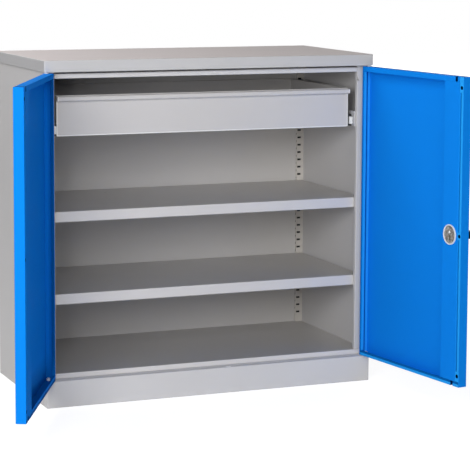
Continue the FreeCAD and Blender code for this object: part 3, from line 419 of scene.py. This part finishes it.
# Painted shade: near black on the channel behind the three holes of the free edge
channelShades = tuple(
    {"X": (None, 0.0178), "Y": (None, 0.0125), "Z": (level - edgeHoles["reach"], level + edgeHoles["reach"])}
    for level in edgeHoles["levels"])   # behind the three holes of the free edge
channelFold = {"X": (None, 0.0192), "Y": doorLips}
channelBody = {"Y": (None, 0.0129)}
freeLip = {"X": (None, 0.0195), "Y": doorLips}
hingeSheet = (0.51, 0.5122)
hingeReturn = {"X": (0.5018, 0.5043), "Y": (0.0046, 0.0131)}
hingeWall = {"X": hingeSheet, "Y": (-0.005, 0.0122)}
hingeRoot = {"X": hingeSheet, "Y": (-0.0133, -0.005)}
hingeLip = {"X": (0.5078, None), "Y": doorLips}
footLip = {"Z": (None, 0.0875), "Y": doorLips}
footFold = {"Z": (0.0875, 0.0952), "Y": doorLips}
frontSheet = {"X": (0.0045, None), "Y": (-0.0146, 0.012)}
# Painted shade on the left door's sheet and channel
paintedFootShade = (0.6, ("Z", 0.16, 0.085))   # darker towards the foot
# Painted highlight and painted shade on the folds and sheets of each door
rightDoorPaintedLight = ((freeLip, "lit"), (footLip, "lit"), (footFold, 0.5), (hingeLip, 0.7), (hingeReturn, "lit"),
              (hingeWall, 0.6), (hingeRoot, "lit"))
leftDoorPaintedLight = ((footLip, 0.5), (hingeReturn, 0.35), (hingeWall, 0.7), (hingeRoot, 0.8), (frontSheet, *paintedFootShade))
rightChannelPaintedLight = ((channelFold, "lit"),)
leftChannelPaintedLight = ((channelFold, "lit"), (channelBody, *paintedFootShade))


def doorCoat(name, swing, folds, shadedHollows):
    # Painted light and shade: a fold with painted highlight takes the lighter blue, or it says how much of its light
    # the coat keeps there, as painted shade
    paintedTints = [(bounds, doorBlue["fold"] if light == "lit" else shaded(doorBlue["colour"], light), *fade)
             for bounds, light, *fade in folds]
    return coatedSteel(name, doorBlue["colour"], doorBlue["roughness"], doorBlue["shine"], shadedHollows,
                       swing.inverted(), paintedTints)


rightDoorPaint = doorCoat("right door blue powder coat", openRight, rightDoorPaintedLight, doorShades)
leftDoorPaint = doorCoat("left door blue powder coat", openLeft, leftDoorPaintedLight, doorShades)
rightChannelPaint = doorCoat("right channel blue powder coat", openRight, rightChannelPaintedLight, channelShades)
leftChannelPaint = doorCoat("left channel blue powder coat", openLeft, leftChannelPaintedLight, channelShades)


# Metals and plastics

zinc = zincSteel("zinc plated steel", (0.66, 0.67, 0.68, 1.0))
bracketZinc = zincSteel("bracket galvanised steel", (0.56, 0.56, 0.58, 1.0), flake=120.0, metal=0.35, roughness=0.42)
brightZinc = zincSteel("bright zinc runner steel", (0.82, 0.83, 0.84, 1.0), flake=90.0)
blackCoat = darkCoat("black runner coat")
nylon = mouldedPlastic("white nylon", fromScreen(236, 237, 236), grainScale=500.0, grainHeight=0.00003,
                       roughness=0.35)
blackPlastic = mouldedPlastic("black grained plastic", (0.014, 0.014, 0.015, 1.0))
coverCast = castMetal("cover grey cast", fromScreen(172, 170, 166), fromScreen(104, 101, 95),
                      fromScreen(140, 118, 106))
shutterMetal = castMetal("cover shutter dull metal", fromScreen(112, 110, 98), fromScreen(78, 77, 70),
                         fromScreen(92, 82, 72))
rimPlastic = mouldedPlastic("cover rim pale plastic", fromScreen(224, 227, 231), grainScale=700.0,
                            grainHeight=0.00004, roughness=0.3)
lockSteel = polishedSteel("polished lock steel", (0.72, 0.73, 0.75, 1.0))
ballSteel = polishedSteel("ball steel", (0.8, 0.8, 0.81, 1.0))

nodeFinish = {
    capPaint: ("top_cap",),
    plinthLitPaint: ("plinth", "header_rail"),
    floorPanelPaint: ("floor_panel",),
    sidePaint: ("left_side_panel", "right_side_panel"),
    postPaint: ("left_front_post", "right_front_post"),
    backPaint: ("back_panel",),
    shelfPaint: ("upper_shelf", "lower_shelf"),
    frontRackPaint: ("front_left_rack", "front_right_rack"),
    rearRackPaint: ("rear_left_rack", "rear_right_rack"),
    drawerPaint: ("drawer_tray", "drawer_front"),
    rightDoorPaint: ("right_door_panel",),
    leftDoorPaint: ("left_door_panel",),
    rightChannelPaint: ("right_lock_channel",),
    leftChannelPaint: ("left_lock_channel",),
    zinc: ("upper_shelf_clips", "lower_shelf_clips", "hinge_pins", "lock_cam", "upper_rod", "lower_rod"),
    bracketZinc: ("left_slide_bracket", "right_slide_bracket"),
    brightZinc: ("left_slide_inner", "right_slide_inner"),
    blackCoat: ("left_slide_outer", "right_slide_outer", "left_slide_mid", "right_slide_mid"),
    ballSteel: ("left_slide_balls", "right_slide_balls"),
    nylon: ("left_hinge_bushes", "right_hinge_bushes", "rod_guides"),
    blackPlastic: ("turning_handle",),
    lockSteel: ("lock_rosette", "key_plug"),
    coverCast: ("lock_cover",),
}
for finish, nodeNames in nodeFinish.items():
    for nodeName in nodeNames:
        for materialSlot in nodes[nodeName].material_slots:
            materialSlot.material = finish
print("finishes set on", sum(len(nodeNames) for nodeNames in nodeFinish.values()), "parts")


# Making pieces. Places on a door are given as if it were shut, then swung open with it

def newPiece(name, mesh, body, material=None, move=None):
    if move:
        mesh.transform(move)
    if material:
        mesh.materials.append(material)
    piece = bpy.data.objects.new(name, mesh)
    scene.collection.objects.link(piece)
    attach(piece, body)
    return piece


def meshFrom(shape, name, sharpAngle=35.0):
    bmesh.ops.recalc_face_normals(shape, faces=shape.faces)
    mesh = bpy.data.meshes.new(name)
    shape.to_mesh(mesh)
    shape.free()
    for face in mesh.polygons:
        face.use_smooth = True
    mesh.set_sharp_from_angle(angle=math.radians(sharpAngle))
    return mesh


def turned(name, profile, segments=48):
    # A turned shape about Z from (radius, height) pairs. A ring's profile ends where it starts
    shape = bmesh.new()
    rings = []
    for radius, height in profile:
        count = 1 if radius == 0 else segments
        rings.append([shape.verts.new((radius * math.cos(math.tau * step / count),
                                       radius * math.sin(math.tau * step / count), height))
                      for step in range(count)])
    if profile[0] == profile[-1]:
        bmesh.ops.delete(shape, geom=rings[-1], context="VERTS")
        rings[-1] = rings[0]
    for low, high in zip(rings, rings[1:]):
        for step in range(segments):
            following = (step + 1) % segments
            if len(low) == 1:
                shape.faces.new((low[0], high[following], high[step]))
            elif len(high) == 1:
                shape.faces.new((low[step], low[following], high[0]))
            else:
                shape.faces.new((low[step], low[following], high[following], high[step]))
    return meshFrom(shape, name)


def drawnOut(name, outlines, soft, segments=2):
    # Closed blocks from outlines in X and Z, each drawn out from one Y to another, with softened edges
    shape = bmesh.new()
    for outline, low, high in outlines:
        front = [shape.verts.new((x, low, z)) for x, z in outline]
        rear = [shape.verts.new((x, high, z)) for x, z in outline]
        shape.faces.new(front)
        shape.faces.new(rear[::-1])
        for step in range(len(outline)):
            following = (step + 1) % len(outline)
            shape.faces.new((front[following], front[step], rear[step], rear[following]))
    bmesh.ops.recalc_face_normals(shape, faces=shape.faces)
    bmesh.ops.bevel(shape, geom=shape.edges[:], offset=soft, segments=segments, affect="EDGES", profile=0.6)
    return meshFrom(shape, name, sharpAngle=50.0)


def ringProfile(ring):
    inner, outer, low, high, soft = (ring[key] for key in ("inner", "outer", "low", "high", "soft"))
    bend = soft * 0.3
    return [(inner, low), (outer, low), (outer, high - soft), (outer - bend, high - bend), (outer - soft, high),
            (inner + soft, high), (inner + bend, high - bend), (inner, high - soft), (inner, low)]


# Geometry Nodes: a small shape set on every point, square to its facing

class Tree:
    def __init__(self, name):
        self.group = bpy.data.node_groups.new(name, "GeometryNodeTree")
        self.group.interface.new_socket("Geometry", in_out="INPUT", socket_type="NodeSocketGeometry")
        self.group.interface.new_socket("Geometry", in_out="OUTPUT", socket_type="NodeSocketGeometry")
        self.given = self.group.nodes.new("NodeGroupInput")
        self.result = self.group.nodes.new("NodeGroupOutput")
        self.identifiers = {}

    def size(self, name, value):
        socket = self.group.interface.new_socket(name, in_out="INPUT", socket_type="NodeSocketFloat")
        socket.default_value = value
        self.identifiers[name] = socket.identifier
        return self.given.outputs[name]

    def node(self, kind, settings=None, inputs=None, output=0):
        made = self.group.nodes.new(kind)
        for key, value in (settings or {}).items():
            setattr(made, key, value)
        for key, values in (inputs or {}).items():
            for value in values if isinstance(values, list) else [values]:
                if isinstance(value, bpy.types.NodeSocket):
                    self.group.links.new(value, made.inputs[key])
                else:
                    made.inputs[key].default_value = value
        return made.outputs[output]

    def times(self, value, factor):
        return self.node("ShaderNodeMath", {"operation": "MULTIPLY"}, {0: value, 1: factor})

    def frustum(self, radius, height, narrow, corners):
        return self.node("GeometryNodeMeshCone", {"fill_type": "NGON"}, {
            "Vertices": corners, "Radius Bottom": radius, "Depth": height,
            "Radius Top": self.times(radius, narrow)}, "Mesh")

    def setOnPoints(self, shape, material):
        facing = self.node("GeometryNodeInputNamedAttribute", {"data_type": "FLOAT_VECTOR"}, {"Name": "facing"})
        turn = self.node("FunctionNodeAlignRotationToVector", {"axis": "Z"}, {"Vector": facing})
        placed = self.node("GeometryNodeInstanceOnPoints", inputs={
            "Points": self.given.outputs[0], "Instance": shape, "Rotation": turn})
        real = self.node("GeometryNodeRealizeInstances", inputs={0: placed})
        painted = self.node("GeometryNodeSetMaterial", inputs={"Geometry": real, "Material": material})
        self.group.links.new(painted, self.result.inputs[0])


# Pan head with a cross recess. The bars differ in depth, so that no two floors of the recess share a plane
screwShape = {"radius": 0.004, "height": 0.002, "narrow": 0.74, "corners": 24, "barWidth": 0.24, "lift": 1.1,
              "shallow": 0.94}


def screwTree(material):
    tree = Tree("pan head screws")
    radius = tree.size("Head Radius", screwShape["radius"])
    height = tree.size("Head Height", screwShape["height"])
    head = tree.frustum(radius, height, screwShape["narrow"], screwShape["corners"])
    width = tree.times(radius, screwShape["barWidth"])
    lift = tree.node("ShaderNodeCombineXYZ", inputs={2: tree.times(height, screwShape["lift"])})
    bars = []
    shallow = tree.times(height, screwShape["shallow"])
    for long, short, deep in ((radius, width, height), (width, radius, shallow)):
        across = tree.node("ShaderNodeCombineXYZ", inputs={0: long, 1: short, 2: deep})
        bar = tree.node("GeometryNodeMeshCube", inputs={"Size": across})
        bars.append(tree.node("GeometryNodeTransform", inputs={"Geometry": bar, "Translation": lift}))
    cut = tree.node("GeometryNodeMeshBoolean", {"operation": "DIFFERENCE"}, {"Mesh 1": head, "Mesh 2": bars})
    tree.setOnPoints(cut, material)
    return tree


# Spot weld: a low flat dimple
weldShape = {"radius": 0.003, "height": 0.0003, "narrow": 0.8, "corners": 20}


def weldTree(material):
    tree = Tree("spot welds")
    radius = tree.size("Weld Radius", weldShape["radius"])
    height = tree.size("Weld Height", weldShape["height"])
    tree.setOnPoints(tree.frustum(radius, height, weldShape["narrow"], weldShape["corners"]), material)
    return tree


def repeated(name, tree, points, facing, body, sizes, move=None):
    mesh = bpy.data.meshes.new(name)
    mesh.from_pydata([tuple(point) for point in points], [], [])
    direction = mesh.attributes.new("facing", "FLOAT_VECTOR", "POINT")
    for item in direction.data:
        item.vector = facing
    piece = bpy.data.objects.new(name, mesh)
    scene.collection.objects.link(piece)
    modifier = piece.modifiers.new("repeat", "NODES")
    modifier.node_group = tree.group
    for sizeName, value in sizes.items():
        modifier[tree.identifiers[sizeName]] = value
    plain = bpy.data.meshes.new_from_object(piece.evaluated_get(bpy.context.evaluated_depsgraph_get()))
    bpy.data.objects.remove(piece)
    return newPiece(name, plain, body, move=move)


doorPlaces = {"back": 0.01325, "lockX": 0.054875, "lockZ": 0.5125, "rodX": 0.051375, "rodY": -0.00775,
              "gripFace": -0.04555}
towardsFront = Matrix.Rotation(math.pi / 2, 4, "X")   # a turned shape's heights run out of the shut door's front
towardsBack = Matrix.Rotation(-math.pi / 2, 4, "X")


def onDoor(x, y, z):
    return openRight @ Matrix.Translation((x, y, z))


# Spot welds: down the rear flanges of the side panels, and down the foot of each lock channel

sides = {"right": 1, "left": -1}
swings = {"right": openRight, "left": openLeft}
rearWelds = {"x": 0.5022, "first": 0.07, "pitch": 0.105, "count": 9, "radius": 0.0032, "height": 0.0004}
channelWelds = {"x": 0.09875, "y": -0.01285, "first": 0.13, "pitch": 0.084, "count": 10, "radius": 0.0028,
                "height": 0.0003}


def weldRow(welds, side, y):
    return [(side * welds["x"], y, welds["first"] + welds["pitch"] * step) for step in range(welds["count"])]


def weldSizes(welds):
    return {"Weld Radius": welds["radius"], "Weld Height": welds["height"]}


blueWelds = {"right": weldTree(rightDoorPaint), "left": weldTree(leftDoorPaint)}
greyWelds = weldTree(carcasePaint)
for sideName, side in sides.items():
    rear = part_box(f"{sideName}_side_panel")[1].y
    repeated(f"{sideName}_rear_welds", greyWelds, weldRow(rearWelds, side, rear), (0, 1, 0), "carcase",
             weldSizes(rearWelds))
    repeated(f"{sideName}_channel_welds", blueWelds[sideName], weldRow(channelWelds, side, channelWelds["y"]),
             (0, 1, 0), f"{sideName}_door", weldSizes(channelWelds), swings[sideName])
print("spot welds set")


# Runners: a white stop on a black bumper plugged into the inner member, and the screws that hold it to the drawer. The
# black bumper is put there as painted shade for the dark gap beside the stop

runnerStop = {"inner": 0.4642, "outer": 0.4732, "level": 0.797, "half": 0.0112, "front": 0.0368, "back": 0.0464,
              "waist": 0.0018, "corner": 0.0026, "soft": 0.0008}
runnerShadeBumper = {"inner": 0.4614, "outer": 0.4735, "level": 0.797, "half": 0.0164, "front": 0.0462, "back": 0.0478,
                "waist": 0.0, "corner": 0.004, "soft": 0.0005, "plugInner": 0.4627, "plugOuter": 0.4686,
                "plugHalf": 0.0076, "plugBack": 0.062}
runnerScrews = {"x": 0.4623, "along": (0.085, 0.205, 0.325, 0.445), "radius": 0.0034, "height": 0.0013}


def stopOutline(stop, side):
    # A block with cut corners and a waist in its outer face
    low, high, half, corner = stop["inner"], stop["outer"], stop["half"], stop["corner"]
    small, wide = corner * 0.4, corner * 0.9
    outline = [(low, -half + small), (low + small, -half), (high - corner, -half), (high, -half + corner),
               (high, -wide), (high - stop["waist"], 0.0), (high, wide), (high, half - corner),
               (high - corner, half), (low + small, half), (low, half - small)]
    return [(side * x, stop["level"] + z) for x, z in outline], stop["front"], stop["back"]


def plugOutline(stop, side):
    low, high, half = stop["plugInner"], stop["plugOuter"], stop["plugHalf"]
    outline = [(side * x, stop["level"] + z) for x, z in ((low, -half), (high, -half), (high, half), (low, half))]
    return outline, stop["back"] - stop["soft"], stop["plugBack"]


zincScrews = screwTree(zinc)
for sideName, side in sides.items():
    stop = drawnOut(f"{sideName}_runner_stop", (stopOutline(runnerStop, side),), runnerStop["soft"])
    newPiece(f"{sideName}_runner_stop", stop, "drawer", nylon)
    # Painted shade: the black block behind the stop
    shadeBumper = drawnOut(f"{sideName}_runner_shade_bumper", (
        stopOutline(runnerShadeBumper, side), plugOutline(runnerShadeBumper, side)), runnerShadeBumper["soft"])
    newPiece(f"{sideName}_runner_shade_bumper", shadeBumper, "drawer", blackPlastic)
    points = [(side * runnerScrews["x"], y, runnerStop["level"]) for y in runnerScrews["along"]]
    repeated(f"{sideName}_runner_screws", zincScrews, points, (side, 0, 0), "drawer",
             {"Head Radius": runnerScrews["radius"], "Head Height": runnerScrews["height"]})
print("runners dressed")


# Lock: pale rim, screw and shutter of the round cover, ring round the key plug, tips of the rods

coverRim = {"outer": 0.0293, "inner": 0.0257, "low": -0.0006, "high": 0.0036, "soft": 0.0012, "segments": 64}
coverScrew = {"rise": 0.007, "seat": 0.003, "radius": 0.0052, "height": 0.0018}
coverShutter = {"half": 0.0041, "low": -0.0148, "high": 0.0035, "front": 0.0001, "back": 0.0008, "soft": 0.0002}
keyRing = {"outer": 0.0108, "inner": 0.0078, "low": -0.0004, "high": 0.0008, "soft": 0.0003}
rodTip = {"radius": 0.0039, "point": 0.0021, "sink": 0.0005, "neck": 0.002, "length": 0.0075, "segments": 32}

coverPlace = onDoor(doorPlaces["lockX"], doorPlaces["back"], doorPlaces["lockZ"])
rim = turned("cover_rim", ringProfile(coverRim), coverRim["segments"])
newPiece("cover_rim", rim, "right_door", rimPlastic, coverPlace @ towardsBack)
screwPoint = (doorPlaces["lockX"], doorPlaces["back"] + coverScrew["seat"], doorPlaces["lockZ"] + coverScrew["rise"])
repeated("cover_screw", zincScrews, [screwPoint], (0, 1, 0), "right_door",
         {"Head Radius": coverScrew["radius"], "Head Height": coverScrew["height"]}, openRight)
shutterOutline = [(coverShutter["half"] * way, coverShutter[level]) for way, level in
                  ((-1, "low"), (1, "low"), (1, "high"), (-1, "high"))]
shutter = drawnOut("cover_shutter", ((shutterOutline, coverShutter["front"], coverShutter["back"]),),
                   coverShutter["soft"])
newPiece("cover_shutter", shutter, "right_door", shutterMetal, coverPlace)
ring = turned("key_ring", ringProfile(keyRing))
newPiece("key_ring", ring, "handle", lockSteel,
         onDoor(doorPlaces["lockX"], doorPlaces["gripFace"], doorPlaces["lockZ"]) @ towardsFront)
tipProfile = [(0.0, -rodTip["sink"]), (rodTip["radius"], -rodTip["sink"]), (rodTip["radius"], rodTip["neck"]),
              (rodTip["point"], rodTip["length"]), (0.0, rodTip["length"])]
for rodName, way in (("upper", 1), ("lower", -1)):
    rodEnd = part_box(f"{rodName}_rod")[1 if way > 0 else 0].z
    tip = turned(f"{rodName}_rod_tip", tipProfile, rodTip["segments"])
    upright = Matrix.Identity(4) if way > 0 else Matrix.Rotation(math.pi, 4, "X")
    newPiece(f"{rodName}_rod_tip", tip, f"{rodName}_lock", zinc,
             onDoor(doorPlaces["rodX"], doorPlaces["rodY"], rodEnd) @ upright)
print("lock dressed")


# Camera: its focal length and its centre are in pixels of a square image

camera = {"place": (-2.0963998, -5.2968153, 1.3450359), "yaw": 0.3913, "pitch": 0.1154, "roll": 0.005,
          "focal": 1952.921, "centre": (240.2585, 164.5), "image": 470.0, "sensor": 36.0}
cameraData = bpy.data.cameras.new("camera")
cameraData.sensor_width = camera["sensor"]
cameraData.lens = camera["focal"] / camera["image"] * camera["sensor"]
cameraData.shift_x = (camera["image"] / 2 - camera["centre"][0]) / camera["image"]
cameraData.shift_y = (camera["centre"][1] - camera["image"] / 2) / camera["image"]
cameraObject = bpy.data.objects.new("camera", cameraData)
cameraObject.matrix_world = (Matrix.Translation(camera["place"]) @ Matrix.Rotation(-camera["yaw"], 4, "Z")
                             @ Matrix.Rotation(math.pi / 2 - camera["pitch"], 4, "X")
                             @ Matrix.Rotation(camera["roll"], 4, "Z"))
scene.collection.objects.link(cameraObject)
scene.camera = cameraObject


# Lamps, surroundings and floor

lamps = {
    "key": {"place": (-2.4, -3.25, 1.5), "aim": (0.0, 0.0, 0.5), "size": 1.4, "watts": 90.0},
    "fill": {"place": (-1.0, -6.0, 3.0), "aim": (0.0, 0.0, 0.5), "size": 2.5, "watts": 90.0},
    "top": {"place": (-1.2, 0.5, 2.3), "aim": (-0.3, 0.2, 0.9), "size": 1.0, "watts": 17.5},
    "back": {"place": (-3.0, 3.5, 1.8), "aim": (0.0, 0.0, 0.5), "size": 3.0, "watts": 15.0},
    "side": {"place": (3.2, 2.6, 1.2), "aim": (0.3, 0.2, 0.5), "size": 2.0, "watts": 50.0},
}
for lampName, lamp in lamps.items():
    lampData = bpy.data.lights.new(lampName, "AREA")
    lampData.shape = "SQUARE"
    lampData.size = lamp["size"]
    lampData.energy = lamp["watts"]
    lampObject = bpy.data.objects.new(lampName, lampData)
    lampObject.location = lamp["place"]
    lampObject.rotation_euler = (Vector(lamp["aim"]) - Vector(lamp["place"])).to_track_quat("-Z", "Y").to_euler()
    scene.collection.objects.link(lampObject)

white = (1.0, 1.0, 1.0, 1.0)
worldLight = {"strength": 0.1, "seen": 1.0}   # the first lights the cabinet, the camera and reflections see the second
world = bpy.data.worlds.new("studio")
world.use_nodes = True
scene.world = world
sky = Recipe(world.node_tree)
seen = sky.add("ShaderNodeLightPath", output="Is Camera Ray")
for rayKind in ("Is Glossy Ray", "Is Transmission Ray"):
    seen = seen.maths("MAXIMUM", seen, sky.add("ShaderNodeLightPath", output=rayKind))
glare = worldLight["strength"] + seen * (worldLight["seen"] - worldLight["strength"])
backdrop = sky.add("ShaderNodeBackground", inputs={"Color": white, "Strength": glare})
sky.add("ShaderNodeOutputWorld", inputs={"Surface": backdrop})

# The camera sees the floor partly as a white glow, and as nothing else from the far distance on
floorLook = {"reach": 15.0, "colour": (0.93, 0.93, 0.93, 1.0), "roughness": 0.9, "share": 0.6, "glow": 1.4,
             "near": 1.5, "far": 4.0}
reach = floorLook["reach"]
floorMesh = bpy.data.meshes.new("floor")
floorMesh.from_pydata([(-reach, -reach, 0), (reach, -reach, 0), (reach, reach, 0), (-reach, reach, 0)], [],
                      [(0, 1, 2, 3)])
floorObject = bpy.data.objects.new("floor", floorMesh)
scene.collection.objects.link(floorObject)
floorPaint = Paint("plain pale floor")
floorPaint.put("Base Color", floorLook["colour"])
floorPaint.put("Roughness", floorLook["roughness"])
cameraRay = floorPaint.add("ShaderNodeLightPath", output="Is Camera Ray")
glow = floorPaint.add("ShaderNodeEmission", inputs={"Color": white, "Strength": floorLook["glow"]})
away = floorPaint.add("ShaderNodeVectorMath", {"operation": "LENGTH"}, {0: floorPaint.place()}, "Value")
faded = floorLook["share"] + floorPaint.ramp(away, floorLook["near"], floorLook["far"]) * (1 - floorLook["share"])
blend = floorPaint.add("ShaderNodeMixShader", inputs={0: cameraRay * faded, 1: floorPaint.shading, 2: glow})
floorPaint.plug(floorPaint.result.node.inputs["Surface"], blend)
floorMesh.materials.append(floorPaint.material)

scene.view_settings.view_transform = "Standard"
print("studio set")
